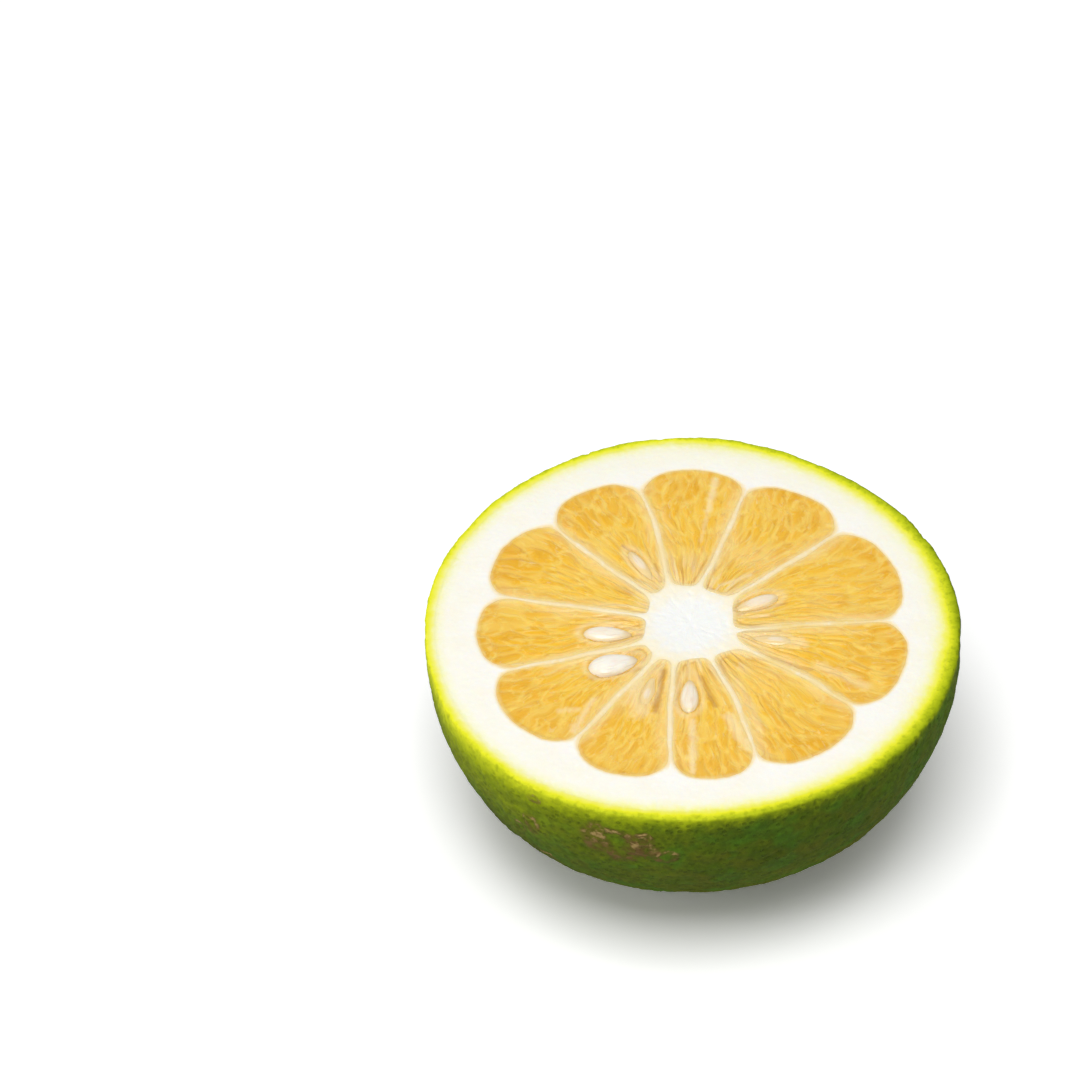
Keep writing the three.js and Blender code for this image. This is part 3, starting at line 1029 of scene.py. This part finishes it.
class MakeFlesh(bpy.types.Operator):
    """Build the eleven wedges of flesh, each a closed block with its juice sacs on the cut face"""

    bl_idname = "sour_orange.flesh"
    bl_label = "Flesh"

    def execute(self, context):
        look = context.scene.sour_orange.flesh
        material = flesh_material(look)
        for number in range(WEDGES):
            self.wedge(number, look, material)
        return {"FINISHED"}

    def wedge(self, number, look, material):
        """One wedge: its face ruled between its four sides, then its walls and floor."""
        spans = wedge_spans(number)
        right, rim, left, tip = (
            [wander(point) for point in evenly(joined(spans[first:last]), steps)]
            for first, last, steps in ((0, 4, FLESH_ROWS), (4, 8, FLESH_COLUMNS),
                                       (8, 12, FLESH_ROWS), (12, 14, FLESH_COLUMNS)))
        left.reverse()
        tip.reverse()
        edge = right[:-1] + rim[:-1] + left[:0:-1] + tip[:0:-1]
        edge.append(edge[0])
        tree = kdtree.KDTree(len(edge))
        for index, point in enumerate(edge):
            tree.insert((point.x, point.y, 0), index)
        tree.balance()
        middle = sum(edge[:-1], Vector((0.0, 0.0))) / (len(edge) - 1)
        root = middle.normalized() * 2.0 + CORE_CENTRE * 0.5
        facing = math.atan2(middle.y - root.y, middle.x - root.x)
        seeds = [seed for seed in SEEDS if seed[0] == number + 1]
        bm = bmesh.new()
        layers = float_layers(bm, "tone", "wall", "rim", "tip", "end", "stain", "pale")
        grain = bm.verts.layers.float_vector.new("grain")

        def surface(vert, flat):
            """Sets a vertex on the cut face: the sacs fan out from the root, across and along."""
            spot = Vector((flat.x, flat.y, number * WEDGE_SHIFT))
            reach = flat - root
            turn = (heading(reach) - facing + math.pi) % (2 * math.pi) - math.pi
            across = turn * FAN_RADIUS + ripples(spot, (0.10, 2.0), (0.45, 0.35))
            along = reach.length + ripples(spot, (0.4, 1.5))
            away = tree.find((flat.x, flat.y, 0))[2]
            out = flat.length

            def strand(thin, long, shift):
                return noise.noise(Vector((across * thin, along * long, number * shift)))

            cell = Vector((across * MM / look.sac_width, along * MM / look.sac_length, number * 5.3))
            near, spots = noise.voronoi(cell)
            apart = near[1] - near[0]
            tone = noise.cell(spots[0] * 3.7)
            bulge = smooth(0.0, 0.55, apart) - 0.6
            height = -0.06 + look.sac_height / MM * bulge + strand(2.2, 0.8, 1) * 0.025
            height += ripples(spot, (0.3, 0.08))
            height += (tone - 0.5) * 0.05
            height *= smooth(0.0, 0.9, away)
            height -= 0.05 * hump(away, 0.2)

            # Brown streaks and painted shade from the listed marks.
            stain = line_share(flat, STAINS_AND_SHADES, number)
            pale = line_share(flat, PALES, number)
            for seed in seeds:
                gap = seed_distance(flat, seed)
                height -= 0.2 * hump(gap - 0.05, 0.2) if gap > 0.05 else 0.2
                height -= min(max(-gap, 0), 0.6) * 1.4
                # Painted shade in a ring round each seed.
                stain = max(stain, 0.35 * hump(gap - 0.15, 0.2))
                pale = max(pale, 0.6 * hump(gap - 0.6, 0.35))
            inner = smooth(16.0, 9.0, out)
            fold = hump(away - 0.85 - ripples(spot, (0.5, 0.3)), 0.18)
            # Painted shade along a fold near the wedge's edge, and brown strands, close to the core.
            stain = max(stain, 0.75 * inner * fold * smooth(-0.25, 0.2, noise.noise(spot * 0.4)),
                        0.55 * inner * smooth(0.12, 0.4, strand(0.8, 0.16, 4.0)))
            film = smooth(0.0, 0.35, strand(0.45, 0.13, 3.0))
            haze = 0.35 * smooth(24.0, 14.0, out) * smooth(0.0, 0.5, noise.noise(spot * 0.12))
            pale = max(pale, 0.85 * inner * hump(away, 0.55), 0.8 * inner * film, haze)
            vert.co = (flat.x, flat.y, HEIGHT + (height - stain * STAIN_DIP + pale * PALE_RISE))

            sides = smooth(29.5, 26.0, out)
            bleed = 1 - smooth(0.0, 0.6 + 0.2 * sides, away + ripples(spot, (0.8, 0.3)))
            lap = sides * (strand(0.5, 0.12, 1) + 0.5) * (1 - smooth(0.2, 2.6, away))
            values = {
                "tone": tone,
                "wall": 1 - smooth(0.03, 0.24, apart),
                "rim": max((0.6 + 0.4 * sides) * bleed, 0.8 * lap),
                "tip": smooth(17.0, 7.0, out),
                "end": smooth(19.0, 29.0, out + ripples(spot, (0.25, 3.0))),
                # Painted shade just inside the wedge's edge, against the membrane.
                "stain": max(stain, 0.15 * (1 - sides) * hump(away - 0.4, 0.25)),
                "pale": pale,
            }
            for name, value in values.items():
                vert[layers[name]] = value
            vert[grain] = (across, along, number * 7.0)

        def face(vert, column, row):
            u, v = column / FLESH_COLUMNS, row / FLESH_ROWS
            ruled = tip[column].lerp(rim[column], v) + right[row].lerp(left[row], u)
            surface(vert, ruled - tip[0].lerp(tip[-1], u).lerp(rim[0].lerp(rim[-1], u), v))

        def body(vert, column, row):
            if row == 0:
                surface(vert, edge[column])
            else:
                flat = edge[column].lerp(middle, (row - 1) / FLOOR_ROWS)
                vert.co = (flat.x, flat.y, dome_height(FLESH_DEPTH + GAP, flat))

        mapped_grid(bm, FLESH_COLUMNS, FLESH_ROWS, face)
        mapped_grid(bm, len(edge) - 1, FLOOR_ROWS + 1, body)
        name = f"{number + 1:02d}"
        finish_piece(bm, "wedge_" + name, material, ["segment_" + name])


def flesh_material(look):
    """Wet juice sacs: gold and amber, with straw-coloured walls and strands between them, painted glints,
    and painted shade beside seeds, folds and the wedges' edges.
    """
    material, wire, shader = new_material(
        "Juicy flesh", IOR=1.36, Specular_IOR_Level=0.4, Subsurface_Weight=0.25,
        Subsurface_Radius=(1.0, 0.55, 0.15), Subsurface_Scale=0.0006, Coat_Weight=0.12,
        Coat_Roughness=0.16)
    place, grain = wire.place(), wire.own("grain", "Vector")
    broad = mottle(wire, place, 140.0, 3.0, 0.35, 0.7)
    fine = strands(wire, grain, 1.3, 0.45, 0.46, 0.66)
    hair = strands(wire, grain, 3.2, 1.0, 0.50, 0.70)
    # Painted shade: thin dark lines in the grain.
    shade_lines = strands(wire, grain, 2.2, 0.75, 0.58, 0.72)
    dark = strands(wire, grain, 1.5, 0.42, 0.5, 0.68)
    # Painted highlight: glinting strands, which the bump also raises.
    glint_strands = strands(wire, grain, 1.9, 0.6, 0.60, 0.74)
    deep = wire.times(wire.spread(wire.plus(wire.own("tone"), broad), 0.6, 1.8), 0.85)
    deep = wire.larger(deep, wire.times(wire.own("end"), 0.6))
    base = wire.lay(look.gold, look.amber, deep)
    # The stain layer is brown streaks and painted shade, the shade lines are painted shade in the grain,
    # and the glint strands are a painted highlight.
    covers = [(wire.own("tip"), look.straw, 0.30), (fine, look.straw, 0.54), (dark, look.amber, 0.70),
              (hair, look.straw, 0.16), (broad, look.straw, 0.22), (shade_lines, look.stain, 0.24),
              (glint_strands, look.cream, 0.36), (wire.own("wall"), look.straw, 0.40),
              (wire.own("rim"), look.cream, 0.55), (wire.own("stain"), look.stain, 0.68),
              (wire.own("pale"), look.cream, 0.75)]
    for mask, over, strength in covers:
        base = wire.lay(base, over, mask, strength)
    height = wire.plus(fine_grain(wire, place, 900.0, 0.3), wire.times(wire.plus(fine, glint_strands), 0.5))
    plug(wire, shader, base, height, 0.00007, wire.between(broad, 0.22, 0.34))
    return material


# ------------------------------------------------------------------ seeds
def seed_taper(along):
    """Width of a seed against an ellipse's, from -1 at its tip to 1 at its blunt end."""
    return -0.05 * math.log(math.exp((-0.28 * along - 1) / 0.05) + math.exp(-1.12 / 0.05)) * 0.93


class MakeSeeds(bpy.types.Operator):
    """Build the seven seeds, each a ridged drop lying in its wedge"""

    bl_idname = "sour_orange.seeds"
    bl_label = "Seeds"

    def execute(self, context):
        look = context.scene.sour_orange.seeds
        material = seed_material(look)
        for index, seed in enumerate(SEEDS):
            self.seed(index, seed, look, material)
        return {"FINISHED"}

    def seed(self, index, seed, look, material):
        """One seed: turned on its long axis, ridged, flattened and laid in its place."""
        _, x, y, turn, long, wide, proud = seed
        bm = bmesh.new()
        profile = []
        for step in range(SEED_ROWS + 1):
            along = -math.cos(math.pi * step / SEED_ROWS)
            across = wide / 2 * math.sin(math.pi * step / SEED_ROWS) * seed_taper(along)
            profile.append(bm.verts.new((across, 0, long / 2 * along)))
        edges = [bm.edges.new(pair) for pair in zip(profile, profile[1:])]
        bmesh.ops.spin(bm, geom=profile + edges, axis=(0, 0, 1), cent=(0, 0, 0), dvec=(0, 0, 0),
                       angle=2 * math.pi, steps=SEED_SIDES, use_merge=True, use_duplicate=False)
        bmesh.ops.remove_doubles(bm, verts=bm.verts, dist=MERGE)
        tip, veil, edge = float_layers(bm, "tip", "veil", "edge").values()
        grain = bm.verts.layers.float_vector.new("grain")
        for vert in bm.verts:
            around = heading(vert.co)
            ridges = noise.noise(Vector((math.cos(around) * 4, math.sin(around) * 4,
                                         vert.co.z * 0.25 + index * 9)))
            vert[tip] = smooth(-0.55, -1.0, vert.co.z / (long / 2))
            vert[grain] = (math.cos(around) * wide, vert.co.z, math.sin(around) * wide + index * 9)
            vert[veil] = smooth(0.62, 0.2, proud)
            shrink = 1 - (0.5 + ridges) * look.ridge / MM / (wide / 2)
            vert.co.x *= shrink
            vert.co.y *= shrink
        lying, turned = Matrix.Rotation(math.pi / 2, 3, "Y"), Matrix.Rotation(math.radians(turn), 3, "Z")
        bmesh.ops.rotate(bm, cent=(0, 0, 0), matrix=lying, verts=bm.verts)
        bmesh.ops.scale(bm, vec=(1, 1, SEED_FLATNESS), verts=bm.verts)
        bmesh.ops.rotate(bm, cent=(0, 0, 0), matrix=turned, verts=bm.verts)
        middle = HEIGHT - SEED_SINK + proud - wide / 2 * SEED_FLATNESS
        bmesh.ops.translate(bm, vec=(x, y, middle), verts=bm.verts)
        for vert in bm.verts:
            buried = smooth(0.42 * proud, 0.0, vert.co.z - HEIGHT + SEED_SINK)
            vert[edge] = buried * (0.25 + 0.45 * vert[veil])
        name = f"{index + 1:02d}"
        finish_piece(bm, "pip_" + name, material, ["seed_" + name])


def seed_material(look):
    """Smooth ivory seed coat with fine strands and a darker tip."""
    material, wire, shader = new_material(
        "Seed coat", Roughness=0.35, Subsurface_Weight=0.3, Subsurface_Radius=(1.0, 0.7, 0.4),
        Subsurface_Scale=0.001, Coat_Weight=0.3, Coat_Roughness=0.15)
    fibres = strands(wire, wire.own("grain", "Vector"), 1.6, 0.3, 0.45, 0.8)
    clouds = mottle(wire, wire.place(), 600.0, 3.0, 0.4, 0.75)
    base = wire.lay(look.ivory, look.veiled, wire.own("veil"))
    for mask, strength in ((fibres, 0.28), (clouds, 0.14), (wire.own("tip"), 0.7)):
        base = wire.lay(base, look.tan, mask, strength)
    base = wire.lay(base, look.film, wire.own("edge"))
    plug(wire, shader, base, fibres, 0.00005)
    return material


# ------------------------------------------------------------------ stage
FACE_IN_VIEW = (150 / 1080, -78 / 1080)  # middle of the cut face from the middle of the view
LENS = 99.9
SENSOR = 36.0
LIT_SPOT = Vector((0, 0, 0.03))
KEY_SPOT, KEY_SIZE = (-0.05, -0.32, 1.0), 0.5
FILL_SPOT, FILL_SIZE = (-0.90, -0.35, 0.50), 0.6
FLOOR_HALF = 4.0
FLOOR_GREY = (0.86, 0.86, 0.86, 1.0)  # as it lights the fruit
FLOOR_SEEN = (1.26, 1.26, 1.26, 1.0)  # as it is looked at: white where the light is full


def soft_light(name, spot, size, power):
    """A square area light aimed at the fruit, in metres and watts."""
    lamp = bpy.data.lights.new(name, "AREA")
    lamp.shape = "SQUARE"
    lamp.size = size
    lamp.energy = power
    light = bpy.data.objects.new(name, lamp)
    light.location = spot
    light.rotation_euler = (LIT_SPOT - light.location).to_track_quat("-Z", "Y").to_euler()
    bpy.context.scene.collection.objects.link(light)


class MakeStage(bpy.types.Operator):
    """Set the pale floor, the soft lights and the camera"""

    bl_idname = "sour_orange.stage"
    bl_label = "Stage"

    def execute(self, context):
        look = context.scene.sour_orange.stage
        scene = context.scene
        scene.view_settings.view_transform = "Standard"
        self.floor()
        self.sky(scene, look)
        soft_light("Key light", KEY_SPOT, KEY_SIZE, look.key_power)
        soft_light("Fill light", FILL_SPOT, FILL_SIZE, look.fill_power)
        camera = bpy.data.objects.new("Camera", bpy.data.cameras.new("Camera"))
        camera.data.lens = LENS
        camera.data.sensor_width = SENSOR
        camera.data.clip_start = 0.01
        camera.data.clip_end = 10
        face = Vector((0, 0, HEIGHT * MM))
        back = Vector((0, -math.cos(look.elevation), math.sin(look.elevation)))
        camera.location = face + back * look.distance
        across = math.atan(FACE_IN_VIEW[0] * SENSOR / LENS)
        upward = math.atan(-FACE_IN_VIEW[1] * SENSOR / LENS)
        camera.rotation_mode = "QUATERNION"
        camera.rotation_quaternion = ((-back).to_track_quat("-Z", "Y")
                                      @ Quaternion((0, 1, 0), across) @ Quaternion((1, 0, 0), upward))
        scene.collection.objects.link(camera)
        scene.camera = camera
        return {"FINISHED"}

    def floor(self):
        """A wide plain floor that looks white where the light is full and keeps the shadow."""
        bm = bmesh.new()
        bmesh.ops.create_grid(bm, x_segments=1, y_segments=1, size=FLOOR_HALF)
        material, wire, shader = new_material(
            "Pale floor", Base_Color=FLOOR_GREY, Roughness=0.9, Specular_IOR_Level=0.0)
        white = wire.add("ShaderNodeBsdfDiffuse", {"Color": FLOOR_SEEN}).outputs[0]
        either = wire.add("ShaderNodeMixShader", {0: wire.looked_at(), 1: shader.outputs[0], 2: white})
        surface = material.node_tree.nodes["Material Output"].inputs["Surface"]
        wire.tree.links.new(either.outputs[0], surface)
        new_object(bm, "floor", material)

    def sky(self, scene, look):
        """Even light from all round, plain white where it is seen."""
        world = bpy.data.worlds.new("Plain sky")
        world.use_nodes = True
        wire = Wiring(world.node_tree)
        background = world.node_tree.nodes["Background"]
        background.inputs[0].default_value = WHITE
        strength = wire.between(wire.looked_at(), look.sky, 1.0)
        wire.tree.links.new(strength, background.inputs[1])
        scene.world = world


# ------------------------------------------------------------------ panel and run
class OrangePanel(bpy.types.Panel):
    """Lists the pieces of the half and their settings"""

    bl_idname = "VIEW3D_PT_sour_orange"
    bl_label = "Sour orange half"
    bl_space_type = "VIEW_3D"
    bl_region_type = "UI"
    bl_category = "Sour orange"

    def draw(self, context):
        settings = context.scene.sour_orange
        for operator, group in STEPS:
            box = self.layout.box()
            box.operator(operator.bl_idname)
            values = getattr(settings, group)
            for name in values.__annotations__:
                box.prop(values, name)


STEPS = [(MakeStage, "stage"), (MakeSkin, "skin"), (MakePith, "pith"), (MakeFlesh, "flesh"),
         (MakeSeeds, "seeds")]
CLASSES = [SkinSettings, PithSettings, FleshSettings, SeedSettings, StageSettings, OrangeSettings,
           MakeStage, MakeSkin, MakePith, MakeFlesh, MakeSeeds, OrangePanel]


def register():
    for kind in CLASSES:
        bpy.utils.register_class(kind)
    bpy.types.Scene.sour_orange = bpy.props.PointerProperty(type=OrangeSettings)


def unregister():
    del bpy.types.Scene.sour_orange
    for kind in reversed(CLASSES):
        bpy.utils.unregister_class(kind)


def main():
    """Makes every piece."""
    register()
    bpy.ops.sour_orange.stage()
    bpy.ops.sour_orange.skin()
    bpy.ops.sour_orange.pith()
    bpy.ops.sour_orange.flesh()
    bpy.ops.sour_orange.seeds()


if __name__ == "__main__":
    main()
